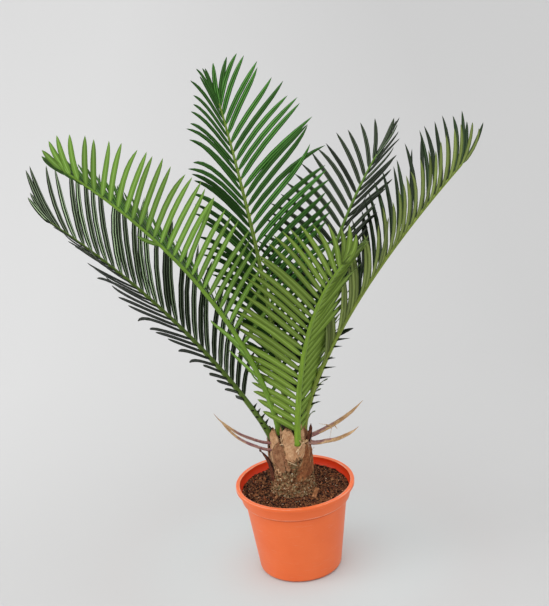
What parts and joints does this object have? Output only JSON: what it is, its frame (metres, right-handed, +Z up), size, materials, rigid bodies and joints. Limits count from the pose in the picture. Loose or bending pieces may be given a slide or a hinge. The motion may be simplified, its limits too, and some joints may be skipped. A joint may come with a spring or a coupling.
{
  "type": "potted sago palm",
  "caption": "Young sago palm with arching feather fronds on a short scaly trunk, in a round tapered plastic nursery pot filled with soil.",
  "frame": {"origin": "middle of the pot's flat underside, on the surface it stands on", "axes": "+Z up the trunk, +X to the right of the palm's front view, -Y toward the viewer"},
  "size_m": [0.4201, 0.2325, 0.526],
  "materials": {
    "pot": "satin moulded orange-red plastic",
    "soil": "coarse dark potting compost with tan crumbs",
    "trunk": "papery brown leaf bases over a grey-green crusted foot",
    "dry_leaf": "dry tan strand, purple toward the trunk",
    "dark_scale": "dark dry scale",
    "frond": "glossy dark green above, matte yellow-green beneath"
  },
  "bodies": {
    "root": {"pot": "pot", "potting_soil": "soil", "trunk": "trunk", "dry_leaf_left_upper": "dry_leaf", "dry_leaf_left_lower": "dry_leaf", "dry_leaf_right_upper": "dry_leaf", "dry_leaf_right_lower": "dry_leaf", "torn_strap": "dark_scale", "bud_scale": "dark_scale", "frond_front": "frond", "frond_front_left": "frond", "frond_right": "frond", "frond_far_left": "frond", "frond_back": "frond", "frond_back_right": "frond"}
  },
  "joints": []
}
